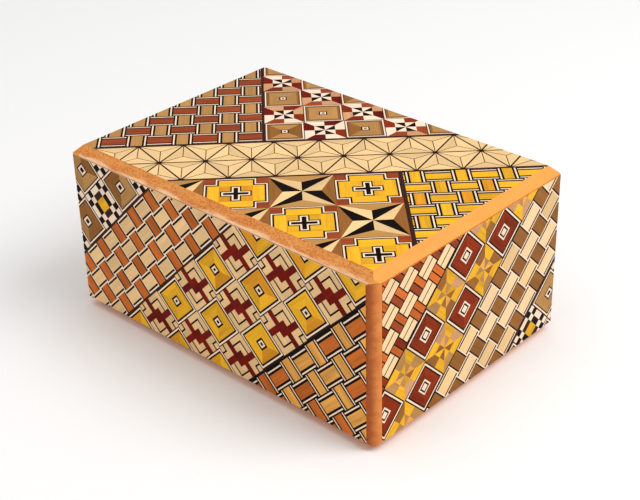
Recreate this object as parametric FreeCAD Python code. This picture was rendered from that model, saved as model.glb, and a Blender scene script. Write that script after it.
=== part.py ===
"""Wooden puzzle box with inlaid faces, millimetres, +Z up.

The origin is on the resting surface, under the centre of the box. +X is the long axis. The lid
slides towards +X, and four thin outer panels close round the case like the sails of a pinwheel:
the lid covers the top of the right end panel, the right end panel covers the end of the bottom
panel, the bottom panel covers the foot of the left end panel, and the left end panel covers the
end of the lid. Each panel carries a thin sheet of marquetry on its outer face. Every outer edge
is planed to a chamfer that shows the solid wood.
"""
import FreeCAD
import Part
import os

from FreeCAD import Vector

# --- Driving dimensions -------------------------------------------------------------------------
SUN = 30.3                      # traditional length unit
LENGTH = 4 * SUN                # outside, along X
DEPTH = 84.0                    # outside, along Y
HEIGHT = 56.5                   # outside, along Z

PANEL = 3.0                     # thickness of the sliding panels, and width of the broad chamfers
ARRIS = 0.8                     # small chamfer on the plain upright edges
SHEET = 0.4                     # thickness of the marquetry
WALL = 6.0                      # front and rear walls, with their marquetry
INNER_END = 3.0                 # fixed ends of the inner case
FLOOR = 3.0                     # floor of the tray
GAP = 0.1                       # running clearance between pieces that slide

TONGUE_ROOT = 1.0               # width of a guide tongue where it leaves the wall
TONGUE_TIP = 1.6                # width of its flared top
TONGUE_HEIGHT = 1.3
TONGUE_INSET = 4.5              # from the outer face to the middle of the tongue
TONGUE_STOP = 2 * PANEL         # length of solid panel left beyond the blind end of a groove

END_TRAVEL = 4.0                # how far each end panel and the bottom panel slide
KEY_DEPTH = 1.7                 # how far a key stands into its slot
KEY_ROOT = 10.0                 # width of an end panel's key at the panel
KEY_TIP = 11.2                  # width of its flared side
KEY_MARGIN = 12.0               # from the top and the foot of the box to an end panel's key
BOTTOM_KEY_LENGTH = 14.0
BOTTOM_KEY_WIDTH = 8.0

# --- Planes worked out from them ----------------------------------------------------------------
RIGHT = LENGTH / 2
LEFT = -RIGHT
REAR = DEPTH / 2
FRONT = -REAR
WALL_TOP = HEIGHT - PANEL       # upper edge of the walls, just under the lid
WALL_FOOT = PANEL               # lower edge of the walls, just over the bottom panel
CASE_RIGHT = RIGHT - PANEL      # outer faces of the inner case's ends
CASE_LEFT = LEFT + PANEL + GAP
INNER_FRONT = FRONT + WALL      # inner faces of the walls
INNER_REAR = REAR - WALL


def box(x, y, z):
    """A solid box from (low, high) pairs."""
    return Part.makeBox(x[1] - x[0], y[1] - y[0], z[1] - z[0], Vector(x[0], y[0], z[0]))


def prism(points, direction):
    """A solid made by pushing a closed outline along a direction."""
    corners = [Vector(*point) for point in points]
    return Part.Face(Part.makePolygon(corners + corners[:1])).extrude(Vector(*direction))


def chamfered(low, high, cuts):
    """The corners of a rectangle with one chamfer size for each corner, anticlockwise."""
    (a0, b0), (a1, b1) = low, high
    lower_left, lower_right, upper_right, upper_left = cuts
    return [
        (a0 + lower_left, b0), (a1 - lower_right, b0), (a1, b0 + lower_right), (a1, b1 - upper_right),
        (a1 - upper_right, b1), (a0 + upper_left, b1), (a0, b1 - upper_left), (a0, b0 + lower_left),
    ]


def envelope():
    """The outside of the closed box: broad chamfers, and small ones on three upright edges."""
    broad = (PANEL,) * 4
    plan = chamfered((LEFT, FRONT), (RIGHT, REAR), (ARRIS, PANEL, ARRIS, ARRIS))
    side = chamfered((LEFT, 0), (RIGHT, HEIGHT), broad)
    end = chamfered((FRONT, 0), (REAR, HEIGHT), broad)
    upright = prism([(a, b, 0) for a, b in plan], (0, 0, HEIGHT))
    crosswise = prism([(a, FRONT, b) for a, b in side], (0, DEPTH, 0))
    lengthwise = prism([(LEFT, a, b) for a, b in end], (LENGTH, 0, 0))
    return upright.common(crosswise).common(lengthwise)


def tongue(side, at_lid, x, clearance=0.0):
    """A flared tongue along a wall's upper or lower edge; with clearance, the groove for it."""
    middle = side * (REAR - TONGUE_INSET)
    up = 1 if at_lid else -1
    root = WALL_TOP if at_lid else WALL_FOOT
    tip = root + up * (TONGUE_HEIGHT + clearance)
    half_root, half_tip = TONGUE_ROOT / 2 + clearance, TONGUE_TIP / 2 + clearance
    outline = [
        (x[0], middle - half_root, root), (x[0], middle + half_root, root),
        (x[0], middle + half_tip, tip), (x[0], middle - half_tip, tip),
    ]
    return prism(outline, (x[1] - x[0], 0, 0))


def lid_tongue_span():
    """Where the lid's tongues lie along X: the lid leaves them towards +X."""
    return CASE_LEFT + GAP, RIGHT - TONGUE_STOP


def bottom_tongue_span():
    """Where the bottom panel's tongues lie along X: it leaves them towards -X."""
    return LEFT + TONGUE_STOP, CASE_RIGHT - GAP


def end_key(side, z, clearance=0.0):
    """An end panel's flared upright key; with clearance, the slot for it in the inner end."""
    case_face = CASE_RIGHT if side > 0 else CASE_LEFT
    panel_face = case_face + side * GAP
    root = case_face if clearance else panel_face
    tip = panel_face - side * (KEY_DEPTH + clearance)
    half_root, half_tip = KEY_ROOT / 2 + clearance, KEY_TIP / 2 + clearance
    outline = [
        (root, -half_root, z[0]), (root, half_root, z[0]), (tip, half_tip, z[0]), (tip, -half_tip, z[0]),
    ]
    return prism(outline, (0, 0, z[1] - z[0]))


def walls(outside):
    """The fixed front and rear walls and their marquetry."""
    wall_z = (WALL_FOOT, WALL_TOP)
    front = outside.common(box((LEFT, RIGHT), (FRONT, INNER_FRONT), wall_z))
    beside_panels = (FRONT + PANEL, INNER_FRONT)
    front = front.cut(box((CASE_RIGHT, RIGHT), beside_panels, wall_z))
    front = front.cut(box((LEFT, CASE_LEFT), beside_panels, wall_z))
    front_marquetry = front.common(box((LEFT, RIGHT), (FRONT, FRONT + SHEET), wall_z))
    front_board = front.cut(box((LEFT, RIGHT), (FRONT, FRONT + SHEET), wall_z))
    corner_y = (FRONT, FRONT + PANEL)
    top_corner = outside.common(box((LEFT, LEFT + PANEL), corner_y, (WALL_TOP, HEIGHT)))
    foot_corner = outside.common(box((CASE_RIGHT + GAP, RIGHT), corner_y, (0, WALL_FOOT)))
    front_board = front_board.fuse([top_corner, foot_corner]).removeSplitter()

    rear_x = (CASE_LEFT, CASE_RIGHT)
    return {
        "front_board": front_board,
        "front_marquetry": front_marquetry,
        "rear_board": box(rear_x, (INNER_REAR, REAR - SHEET), wall_z),
        "rear_marquetry": box(rear_x, (REAR - SHEET, REAR), wall_z),
    }


def guides():
    """The four tongues glued along the walls, which carry the lid and the bottom panel."""
    pieces = {}
    for name, side in (("front", -1), ("rear", 1)):
        pieces[f"lid_guide_{name}"] = tongue(side, True, lid_tongue_span())
        pieces[f"bottom_guide_{name}"] = tongue(side, False, bottom_tongue_span())
    return pieces


def inner_case():
    """The fixed inner ends and the tray floor, slotted for the keys."""
    y = (INNER_FRONT, INNER_REAR)
    z = (WALL_FOOT, WALL_TOP)
    right = box((CASE_RIGHT - INNER_END, CASE_RIGHT), y, z)
    right = right.cut(end_key(1, (KEY_MARGIN - END_TRAVEL - GAP, WALL_TOP), GAP))
    left = box((CASE_LEFT, CASE_LEFT + INNER_END), y, z)
    left = left.cut(end_key(-1, (WALL_FOOT, HEIGHT - KEY_MARGIN + END_TRAVEL + GAP), GAP))
    floor_x = (CASE_LEFT + INNER_END, CASE_RIGHT - INNER_END)
    floor = box(floor_x, y, (WALL_FOOT, WALL_FOOT + FLOOR))
    half_length, half_width = BOTTOM_KEY_LENGTH / 2 + GAP, BOTTOM_KEY_WIDTH / 2 + GAP
    slot = box((-half_length - END_TRAVEL, half_length), (-half_width, half_width),
               (WALL_FOOT, WALL_FOOT + KEY_DEPTH + GAP))
    return {"right_inner_end": right, "left_inner_end": left, "tray_floor": floor.cut(slot)}


def lid(outside):
    """The sliding lid, grooved underneath, open at its left end."""
    panel = outside.common(box((CASE_LEFT, RIGHT), (FRONT, REAR), (WALL_TOP + GAP, HEIGHT)))
    top = box((LEFT, RIGHT), (FRONT, REAR), (HEIGHT - SHEET, HEIGHT))
    board = panel.cut(top)
    start, end = lid_tongue_span()
    for side in (-1, 1):
        board = board.cut(tongue(side, True, (start - PANEL, end + GAP), GAP))
    return {"lid_board": board, "lid_marquetry": panel.common(top)}


def bottom_panel(outside):
    """The sliding bottom panel, grooved on top, open at its right end, with its key."""
    panel = outside.common(box((LEFT, CASE_RIGHT), (FRONT, REAR), (0, WALL_FOOT - GAP)))
    underside = box((LEFT, RIGHT), (FRONT, REAR), (0, SHEET))
    board = panel.cut(underside)
    start, end = bottom_tongue_span()
    for side in (-1, 1):
        board = board.cut(tongue(side, False, (start - GAP, end + PANEL), GAP))
    half_length, half_width = BOTTOM_KEY_LENGTH / 2, BOTTOM_KEY_WIDTH / 2
    top = WALL_FOOT - GAP
    key = box((-half_length, half_length), (-half_width, half_width), (top, top + KEY_DEPTH + GAP))
    return {"bottom_board": board, "bottom_marquetry": panel.common(underside), "bottom_key": key}


def end_panel(outside, name, side):
    """An end panel, its marquetry, and the key on its inner face."""
    if side > 0:
        x, skin_x, z = (CASE_RIGHT + GAP, RIGHT), (RIGHT - SHEET, RIGHT), (0, WALL_TOP)
    else:
        x, skin_x, z = (LEFT, CASE_LEFT - GAP), (LEFT, LEFT + SHEET), (WALL_FOOT, HEIGHT)
    panel = outside.common(box(x, (FRONT + PANEL + GAP, REAR), z))
    skin = box(skin_x, (FRONT, REAR), (0, HEIGHT))
    key = end_key(side, (KEY_MARGIN, HEIGHT - KEY_MARGIN))
    return {f"{name}_board": panel.cut(skin), f"{name}_marquetry": panel.common(skin), f"{name}_key": key}


def main():
    """Build every piece and write one STEP file for each."""
    outside = envelope()
    pieces = {}
    pieces.update(walls(outside))
    pieces.update(guides())
    pieces.update(inner_case())
    pieces.update(lid(outside))
    pieces.update(bottom_panel(outside))
    pieces.update(end_panel(outside, "right_end", 1))
    pieces.update(end_panel(outside, "left_end", -1))

    os.makedirs("parts", exist_ok=True)
    for name, shape in pieces.items():
        shape.exportStep(os.path.join("parts", f"{name}.step"))
        print(f"{name}: {len(shape.Solids)} solid, {shape.Volume:.1f} mm3, valid {shape.isValid()}")


main()
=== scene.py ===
"""Looks of a wooden secret box: inlaid faces, oiled solid-wood edges, and a plain studio.

Every inlaid face is one sheet of marquetry, cut from a blank by straight cuts as a maker cuts it, in
millimetres on axes (u, v) that run at 45 degrees to the edges of the box. A tile keeps its kind of
wood as its material, its shade as the attribute "tone", and the run of its fibres as the UV map
"Grain".
"""
import logging
import math
import random
from dataclasses import dataclass, field, replace
from enum import Enum
from typing import Any, Callable, Iterable, Iterator, Sequence

import bmesh
import bpy
from bmesh.types import BMFace
from mathutils import Matrix, Vector


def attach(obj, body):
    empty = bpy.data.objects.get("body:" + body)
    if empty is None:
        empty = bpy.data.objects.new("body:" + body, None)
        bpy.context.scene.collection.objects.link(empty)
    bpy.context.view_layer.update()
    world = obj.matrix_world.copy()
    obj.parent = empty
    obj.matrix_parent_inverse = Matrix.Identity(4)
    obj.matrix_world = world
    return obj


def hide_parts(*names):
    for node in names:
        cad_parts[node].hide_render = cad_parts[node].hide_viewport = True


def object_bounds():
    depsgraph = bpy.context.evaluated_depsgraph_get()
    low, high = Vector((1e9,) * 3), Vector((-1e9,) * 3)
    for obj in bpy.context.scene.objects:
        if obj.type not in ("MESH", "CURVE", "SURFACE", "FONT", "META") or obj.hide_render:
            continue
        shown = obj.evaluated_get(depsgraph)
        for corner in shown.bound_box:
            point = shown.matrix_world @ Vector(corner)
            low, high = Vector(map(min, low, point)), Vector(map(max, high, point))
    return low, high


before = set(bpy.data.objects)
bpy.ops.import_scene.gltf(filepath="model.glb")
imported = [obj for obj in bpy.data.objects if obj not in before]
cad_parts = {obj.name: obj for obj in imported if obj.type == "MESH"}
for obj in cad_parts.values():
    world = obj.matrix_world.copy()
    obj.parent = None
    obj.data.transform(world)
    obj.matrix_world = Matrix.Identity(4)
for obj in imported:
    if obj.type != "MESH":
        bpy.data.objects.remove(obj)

CAD_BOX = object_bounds()
LOG = logging.getLogger("secret_box")

MM = 0.001                      # one millimetre in metres
GRAIN_MAP = "Grain"             # UV map, in millimetres: along the fibres, across the fibres
BAKE_MAP = "OFBake"             # UV map that gives the whole image to the visible face
TONE = "tone"                   # attribute from 0 to 1: the shade of one piece of wood
MIX_INPUTS = (0, 6, 7)          # a colour Mix node's sockets for the factor and both colours
MIX_RESULT = 2                  # and the one for its result
Color = tuple[float, float, float]
Span = tuple[float, float]


# --- Shader maths ---------------------------------------------------------------------------------
class Value:
    """A number from a node's socket that can be used in arithmetic."""

    def __init__(self, shader: "Shader", socket: bpy.types.NodeSocket) -> None:
        """Wrap a socket of a shader's node tree."""
        self.shader = shader
        self.socket = socket

    def _math(self, operation: str, *operands: Any) -> "Value":
        """Add a Math node with these operands and return its result."""
        node = self.shader.node("ShaderNodeMath", {"operation": operation}, dict(enumerate(operands)))
        return Value(self.shader, node.outputs[0])

    def __add__(self, other: Any) -> "Value":
        """self + other."""
        return self._math("ADD", self, other)

    __radd__ = __add__

    def __sub__(self, other: Any) -> "Value":
        """self - other."""
        return self._math("SUBTRACT", self, other)

    def __rsub__(self, other: Any) -> "Value":
        """other - self."""
        return self._math("SUBTRACT", other, self)

    def __mul__(self, other: Any) -> "Value":
        """self * other."""
        return self._math("MULTIPLY", self, other)

    __rmul__ = __mul__

    def clamped(self) -> "Value":
        """The value held between 0 and 1."""
        return self._math("MAXIMUM", self._math("MINIMUM", self, 1.0), 0.0)

    def step(self, low: float, high: float) -> "Value":
        """A smooth rise from 0 at low to 1 at high."""
        node = self.shader.node(
            "ShaderNodeMapRange", {"interpolation_type": "SMOOTHSTEP"},
            {"Value": self, "From Min": low, "From Max": high})
        return Value(self.shader, node.outputs["Result"])


class Shader:
    """A new material with one Principled shader, and short ways to add nodes to it."""

    def __init__(self, name: str) -> None:
        """Start a material of that name."""
        self.material = bpy.data.materials.new(name)
        self.material.use_nodes = True
        self.tree = self.material.node_tree
        self.surface = self.tree.nodes["Principled BSDF"]

    def node(self, kind: str, settings: dict[str, Any] | None = None,
             inputs: dict[Any, Any] | None = None) -> bpy.types.Node:
        """Add a node.

        Args:
            kind: The node's type.
            settings: Properties of the node, set first.
            inputs: Values or links for its sockets, by name or number.

        Returns:
            The new node.
        """
        node = self.tree.nodes.new(kind)
        for name, value in (settings or {}).items():
            setattr(node, name, value)
        for key, value in (inputs or {}).items():
            self.feed(node.inputs[key], value)
        return node

    def feed(self, socket: bpy.types.NodeSocket, value: Any) -> None:
        """Link a value or another socket to a socket, or set it to a constant."""
        if isinstance(value, Value):
            value = value.socket
        if isinstance(value, bpy.types.NodeSocket):
            self.tree.links.new(value, socket)
        else:
            socket.default_value = value

    def noise(self, place: Any, scale: Sequence[float], detail: float = 2.0, roughness: float = 0.5) -> Value:
        """Noise with its own scale along each axis of a place.

        Args:
            place: The socket that gives the place.
            scale: How many features fit in one unit of each axis.
            detail: Levels of finer noise.
            roughness: How much the finer levels count.

        Returns:
            The noise, from 0 to 1.
        """
        stretched = self.node("ShaderNodeVectorMath", {"operation": "MULTIPLY"}, {0: place, 1: scale})
        node = self.node("ShaderNodeTexNoise", None, {
            "Vector": stretched.outputs[0], "Scale": 1.0, "Detail": detail, "Roughness": roughness})
        return Value(self, node.outputs["Fac"])

    def mix(self, factor: Any, first: Any, second: Any) -> bpy.types.NodeSocket:
        """A colour between two colours, where factor 0 gives the first."""
        feeds = dict(zip(MIX_INPUTS, (factor, first, second)))
        return self.node("ShaderNodeMix", {"data_type": "RGBA"}, feeds).outputs[MIX_RESULT]

    def coat(self, color: bpy.types.NodeSocket, roughness: Value, shine: float) -> None:
        """Give the surface its colour, roughness and constant shine."""
        self.feed(self.surface.inputs["Base Color"], color)
        self.feed(self.surface.inputs["Roughness"], roughness)
        self.surface.inputs["Specular IOR Level"].default_value = shine

    def bump(self, height: Value, depth: float) -> None:
        """Give the surface relief from a height, with its full depth in metres."""
        node = self.node("ShaderNodeBump", None, {"Height": height, "Distance": depth, "Strength": 1.0})
        self.feed(self.surface.inputs["Normal"], node.outputs["Normal"])


def light_of(color: Color) -> list[float]:
    """Turn a display colour with channels from 0 to 255 into the share of light that it reflects."""
    toe, slope, offset, gamma = 0.04045, 12.92, 0.055, 2.4
    shares = [value / 255 for value in color]
    return [share / slope if share <= toe else ((share + offset) / (1 + offset)) ** gamma for share in shares]


def linear(color: Color, gain: float = 1.0) -> tuple[float, float, float, float]:
    """Give a display colour as linear red, green, blue and alpha, with its light multiplied by a gain."""
    return (*(gain * share for share in light_of(color)), 1.0)


# --- Finishes -------------------------------------------------------------------------------------
@dataclass(frozen=True)
class InlayFinish:
    """A thin slice of one kind of wood in the marquetry, under satin lacquer.

    Attributes:
        color: Middle colour of the wood.
        figure: How far the fibres darken the wood, from 0 to 1.
        spread: How far one piece differs in shade from the next, from 0 to 1.
        fibre: Distance between fibres, in millimetres.
        pores: How strongly short dark pores show, from 0 to 1.
    """

    color: Color
    figure: float = 0.3
    spread: float = 0.3
    fibre: float = 0.42
    pores: float = 0.25

    FIBRE_RUN = 0.1                 # fibres for each millimetre of their length
    BANDS = (0.03, 0.45, 1.0)       # bands and pores for each millimetre, along and across the fibres
    PORES = (0.7, 5.5, 1.0)
    PORE_EDGE = (0.6, 0.72)         # where the noise begins and ends to be a pore
    PALEST, MIDDLE, DEEPEST = 1.22, 0.96, 0.5               # light of the wood, as a share of its colour
    FIBRE_SHARE, BAND_SHARE, PORE_SHARE = 1.5, 1.3, 0.35    # how much each darkens it
    SATIN, DULL, SHINE = 0.36, 0.14, 0.035      # roughness, what the fibres add to it, and the shine
    RELIEF, PORE_DEPTH = 0.03 * MM, 0.6         # height of the fibres, and depth of pores beside it

    def dress(self, name: str) -> bpy.types.Material:
        """Make the material, with fibres that follow the Grain map."""
        shader = Shader(name)
        grain = shader.node("ShaderNodeUVMap", {"uv_map": GRAIN_MAP}).outputs["UV"]
        tone = Value(shader, shader.node("ShaderNodeAttribute", {"attribute_name": TONE}).outputs["Fac"])
        fibres = shader.noise(grain, (self.FIBRE_RUN, 1 / self.fibre, 1.0), 3.0, 0.6)
        bands = shader.noise(grain, self.BANDS, 1.0)
        pores = shader.noise(grain, self.PORES, 1.0).step(*self.PORE_EDGE)
        palest = min(self.PALEST, 1 / max(light_of(self.color)))
        deep, pale = linear(self.color, self.DEEPEST), linear(self.color, palest)
        middle = (palest - self.MIDDLE) / (palest - self.DEEPEST)
        shade = (middle + self.figure * self.FIBRE_SHARE * (fibres - 0.5)
                 + self.figure * self.BAND_SHARE * (bands - 0.5)
                 + self.spread * (tone - 0.5) + self.PORE_SHARE * self.pores * pores).clamped()
        shader.coat(shader.mix(shade, pale, deep), self.SATIN + self.DULL * fibres, self.SHINE)
        shader.bump(fibres - self.PORE_DEPTH * pores, self.RELIEF)
        return shader.material


@dataclass(frozen=True)
class PaintedHighlight:
    """A painted highlight: a gradual change of colour across an edge towards a lighter colour, standing in
    for light on a rounded arris.

    Attributes:
        axis: The axis of the box that it runs along: X, Y or Z.
        start: Where the wood still has its own colour, along that axis.
        end: Where the painted highlight is complete.
        color: The colour of the painted highlight.
        share: How strongly it shows, from 0 to 1.
    """

    axis: str
    start: float
    end: float
    color: Color
    share: float


@dataclass(frozen=True)
class TimberFinish:
    """Solid timber, with rings, fibres and pores that run along one axis of the box.

    Attributes:
        color: Middle colour of the wood.
        deep: Colour of its late wood and pores.
        mottle: How strongly the patches show.
        speckle: How strongly the fine pores show.
        roughness: Roughness of the surface.
        painted_highlight: The painted highlight across its edge, if it has one.
    """

    color: Color
    deep: Color
    mottle: float
    speckle: float
    roughness: float
    painted_highlight: PaintedHighlight | None = None

    RINGS, FIBRES = (9.0, 160.0), (90.0, 2600.0)    # features for each metre, along and across the fibres
    SPECKLES, PATCHES = (1500.0, 2800.0), (120.0, 420.0)
    SPECKLE_EDGE, PATCH_EDGE = (0.42, 0.66), (0.3, 0.72)    # where the noise begins and ends to be one
    RING_SHARE, FIBRE_SHARE, FIBRE_START = 0.3, 0.35, 0.3   # how much each darkens the wood
    DULL, SHINE = 0.16, 0.2                     # what the fibres add to the roughness, and the shine
    RELIEF, SPECKLE_DEPTH = 0.04 * MM, 0.8      # height of the fibres, and depth of pores beside it
    RAGGED = 0.8 * MM                           # how far the edge of a painted highlight strays

    def dress(self, name: str, axis: int) -> bpy.types.Material:
        """Make the material.

        Args:
            name: The material's name.
            axis: The axis that the fibres run along: 0, 1 or 2.

        Returns:
            The material, drawn on Object coordinates.
        """
        shader = Shader(name)
        place = shader.node("ShaderNodeTexCoord").outputs["Object"]

        def stretched(along: float, across: float) -> list[float]:
            """Scales for a pattern that is drawn out along the fibres."""
            return [along if index == axis else across for index in range(3)]

        rings = shader.noise(place, stretched(*self.RINGS), 2.0, 0.55)
        fibres = shader.noise(place, stretched(*self.FIBRES), 2.0, 0.6)
        speckles = shader.noise(place, stretched(*self.SPECKLES), 1.0).step(*self.SPECKLE_EDGE)
        patches = shader.noise(place, stretched(*self.PATCHES), 2.0).step(*self.PATCH_EDGE)
        shade = (self.RING_SHARE * rings + self.FIBRE_SHARE * (fibres - self.FIBRE_START)
                 + self.mottle * (patches - 0.5) + self.speckle * speckles).clamped()
        color = shader.mix(shade, linear(self.color), linear(self.deep))
        # Painted highlight: across part of the edge the colour turns to a lighter one, in place of light on a
        # rounded arris.
        if self.painted_highlight:
            painted_highlight = self.painted_highlight
            spot = shader.node("ShaderNodeSeparateXYZ", None, {"Vector": place}).outputs[painted_highlight.axis]
            ragged = Value(shader, spot) + self.RAGGED * (patches - 0.5)
            highlight_mask = ((ragged - painted_highlight.start) * (1 / (painted_highlight.end - painted_highlight.start))).step(0.0, 1.0)
            color = shader.mix(painted_highlight.share * highlight_mask, color, linear(painted_highlight.color))
        shader.coat(color, self.roughness + self.DULL * fibres, self.SHINE)
        shader.bump(fibres - self.SPECKLE_DEPTH * speckles, self.RELIEF)
        return shader.material


class Wood(Enum):
    """The woods of the marquetry, each with its finish."""

    WHITE = InlayFinish((255, 228, 202), 0.12, 0.2)
    CREAM = InlayFinish((242, 203, 146), 0.26, 0.36)
    IVORY = InlayFinish((255, 217, 168), 0.3, 0.24)
    PEARL = InlayFinish((243, 201, 145), 0.4, 0.26)
    HONEY = InlayFinish((236, 169, 82), 0.7, 0.4, 0.5)
    YELLOW = InlayFinish((238, 176, 40), 0.62, 0.5, 0.7)
    AMBER = InlayFinish((226, 152, 38), 0.5, 0.36, 0.7)
    ROSE = InlayFinish((214, 158, 112), 0.4, 0.3)
    TAN = InlayFinish((186, 137, 80), 0.4, 0.3)
    BROWN = InlayFinish((150, 97, 45), 0.46, 0.3)
    ORANGE = InlayFinish((200, 106, 42), 0.7, 0.5, 0.6)
    CORAL = InlayFinish((214, 108, 44), 0.6, 0.5, 0.5)
    RED = InlayFinish((154, 68, 34), 0.7, 0.4)
    RUSSET = InlayFinish((138, 44, 8), 0.9, 0.6)
    MAROON = InlayFinish((116, 18, 6), 0.8, 0.8)
    DARK = InlayFinish((15, 4, 2), 0.3, 0.3)
    SHADE = InlayFinish((58, 30, 24), 0.4, 0.2)


WOODS = list(Wood)


class Timber(Enum):
    """The solid woods, each with its finish."""

    CHAMFER = TimberFinish((240, 162, 86), (198, 106, 44), 0.3, 0.55, 0.42)
    # The lid's chamfer with a painted highlight: a pale pink line along its lower arris, where the rounded
    # edge catches the light.
    LID_CHAMFER = replace(CHAMFER, painted_highlight=PaintedHighlight("Z", 54.6 * MM, 53.7 * MM, (255, 214, 176), 0.75))
    # A lighter, smoother copy of the chamfer: partly its smooth long grain, partly painted light on the ends
    # that the key lamp lights more.
    BRIGHT_END = TimberFinish((254, 168, 78), (238, 138, 58), 0.2, 0.1, 0.36)
    # The upright corner's darker end grain, with a painted highlight that grows across it towards the right,
    # where it faces the key lamp.
    CORNER_END = TimberFinish((170, 80, 24), (112, 44, 12), 0.6, 0.3, 0.42,
                              PaintedHighlight("X", 57.6 * MM, 61.0 * MM, (252, 154, 78), 0.95))
    PALE_CORE = TimberFinish((226, 188, 136), (196, 150, 98), 0.3, 0.35, 0.6)
    HARDWOOD = TimberFinish((132, 84, 52), (84, 48, 28), 0.4, 0.5, 0.5)


FaceRules = Sequence[tuple[Callable[[Vector], bool], bpy.types.Material]]


def first_match(rules: FaceRules, normal: Vector) -> int:
    """The number of the first rule that fits a face's normal."""
    return next((number for number, (test, _) in enumerate(rules) if test(normal)), 0)


# --- Marquetry ------------------------------------------------------------------------------------
class Mosaic:
    """A flat sheet of marquetry that is cut from one blank and painted tile by tile."""

    TOUCH = 1e-4                # a corner this close to a cut lies on it, in millimetres
    SHIFTS = (97, 89)           # how far apart the fibres of two pieces are drawn at most, in millimetres

    def __init__(self, window: Span, seed: int) -> None:
        """Start with a square blank.

        Args:
            window: Half the length and half the height of the sheet, in millimetres.
            seed: Seed of the shades.
        """
        self.bm = bmesh.new()
        self.window = window
        self.tone = self.bm.faces.layers.float.new(TONE)
        self.angle = self.bm.faces.layers.float.new("angle")
        self.shift = self.bm.faces.layers.float_vector.new("shift")
        self.draw = random.Random(seed)
        bmesh.ops.create_grid(self.bm, x_segments=1, y_segments=1, size=sum(window))

    def split(self, faces: Iterable[BMFace], point: Span, normal: Span) -> tuple[list[BMFace], list[BMFace]]:
        """Cut faces along a line.

        Args:
            faces: The faces to cut.
            point: A point on the line.
            normal: The direction across the line.

        Returns:
            The faces behind the line, and those ahead of it.
        """
        faces = list(faces)
        edges = {edge for face in faces for edge in face.edges}
        verts = {vert for face in faces for vert in face.verts}
        where, across = Vector((*point, 0)), Vector((*normal, 0)).normalized()
        cut = bmesh.ops.bisect_plane(self.bm, geom=[*faces, *edges, *verts], dist=self.TOUCH,
                                     plane_co=where, plane_no=across)
        sides: tuple[list[BMFace], list[BMFace]] = ([], [])
        for item in cut["geom"]:
            if isinstance(item, BMFace):
                sides[(item.calc_center_median() - where).dot(across) > 0].append(item)
        return sides

    def cut(self, faces: Iterable[BMFace], point: Span, normal: Span) -> list[BMFace]:
        """Cut faces along a line, and return them all."""
        behind, ahead = self.split(faces, point, normal)
        return behind + ahead

    def strips(self, faces: Iterable[BMFace], axis: int, places: Iterable[float]) -> list[list[BMFace]]:
        """Cut faces into strips.

        Args:
            faces: The faces to cut.
            axis: 0 to cut across u, 1 to cut across v.
            places: Where to cut, in rising order.

        Returns:
            The faces of each strip, in rising order.
        """
        result, rest = [], list(faces)
        normal = (1.0, 0.0) if axis == 0 else (0.0, 1.0)
        for place in places:
            behind, rest = self.split(rest, (place * normal[0], place * normal[1]), normal)
            result.append(behind)
        return [*result, rest]

    def cells(self, faces: Iterable[BMFace], u_places: Iterable[float],
              v_places: Iterable[float]) -> list[BMFace]:
        """Cut faces along both axes, and drop what the sheet does not need.

        Args:
            faces: The faces to cut.
            u_places: Where to cut across u, in rising order.
            v_places: Where to cut across v, in rising order.

        Returns:
            All the cells.
        """
        rows = sum(self.strips(faces, 1, v_places), [])
        return self.trim(sum(self.strips(self.trim(rows), 0, u_places), []))

    def blocks(self, faces: list[BMFace], middle: Vector,
               cuts: Sequence[float]) -> Iterator[tuple[int, int, list[BMFace]]]:
        """Cut faces into blocks at the same places along both axes.

        Args:
            faces: The faces to cut.
            middle: The middle that the places are counted from.
            cuts: Where to cut, in rising order.

        Yields:
            The row, the column and the faces of each block.
        """
        for row, strip in enumerate(self.strips(faces, 1, [middle.y + cut for cut in cuts])):
            for column, block in enumerate(self.strips(strip, 0, [middle.x + cut for cut in cuts])):
                yield row, column, block

    def trim(self, faces: Iterable[BMFace]) -> list[BMFace]:
        """Drop the faces that lie wholly outside the sheet, and return the others."""
        kept = []
        for face in faces:
            corners = [((vert.co.x - vert.co.y) / math.sqrt(2), (vert.co.x + vert.co.y) / math.sqrt(2))
                       for vert in face.verts]
            beyond = any(all(sign * corner[axis] > self.window[axis] for corner in corners)
                         for axis in (0, 1) for sign in (-1, 1))
            if beyond:
                self.bm.faces.remove(face)
            else:
                kept.append(face)
        return kept

    def ring(self, cells: Sequence[BMFace], width: float, woods: Sequence[Wood]) -> None:
        """Lay a mitred line of even width inside the outline of each cell."""
        bmesh.ops.inset_individual(self.bm, faces=cells, thickness=width, use_even_offset=True)
        for cell in cells:
            for edge in cell.edges:
                sides = [face for face in edge.link_faces if face is not cell]
                self.paint(sides, self.draw.choice(woods), run_of(edge))

    def rim(self, faces: list[BMFace], width: float, wood: Wood) -> None:
        """Lay a line of even width inside the outline of a group of faces."""
        made = bmesh.ops.inset_region(self.bm, faces=faces, thickness=width, use_even_offset=True,
                                      use_boundary=True)
        self.paint(made["faces"], wood)

    def poke(self, faces: Sequence[BMFace]) -> list[BMFace]:
        """Cut each face from its middle to its corners."""
        return bmesh.ops.poke(self.bm, faces=faces)["faces"]

    def paint(self, faces: Iterable[BMFace], wood: Wood, angle: float = 0.0,
              tone: float | None = None) -> None:
        """Make faces out of one piece of wood.

        Args:
            faces: The faces.
            wood: Its kind.
            angle: Direction of the fibres from the u axis, in radians.
            tone: Its shade from 0 to 1, drawn at random if it is left out.
        """
        tone = self.draw.random() if tone is None else tone
        shift = Vector((*(self.draw.random() * reach for reach in self.SHIFTS), 0))
        for face in faces:
            face.material_index = WOODS.index(wood)
            face[self.tone], face[self.angle], face[self.shift] = tone, angle, shift


def run_of(edge: bmesh.types.BMEdge) -> float:
    """The direction of an edge."""
    run = edge.verts[1].co - edge.verts[0].co
    return math.atan2(run.y, run.x)


def along_side(offset: Vector) -> float:
    """The direction of the side of a square that lies at this offset from its middle."""
    return math.pi / 2 if abs(offset.x) > abs(offset.y) else 0.0


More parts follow.
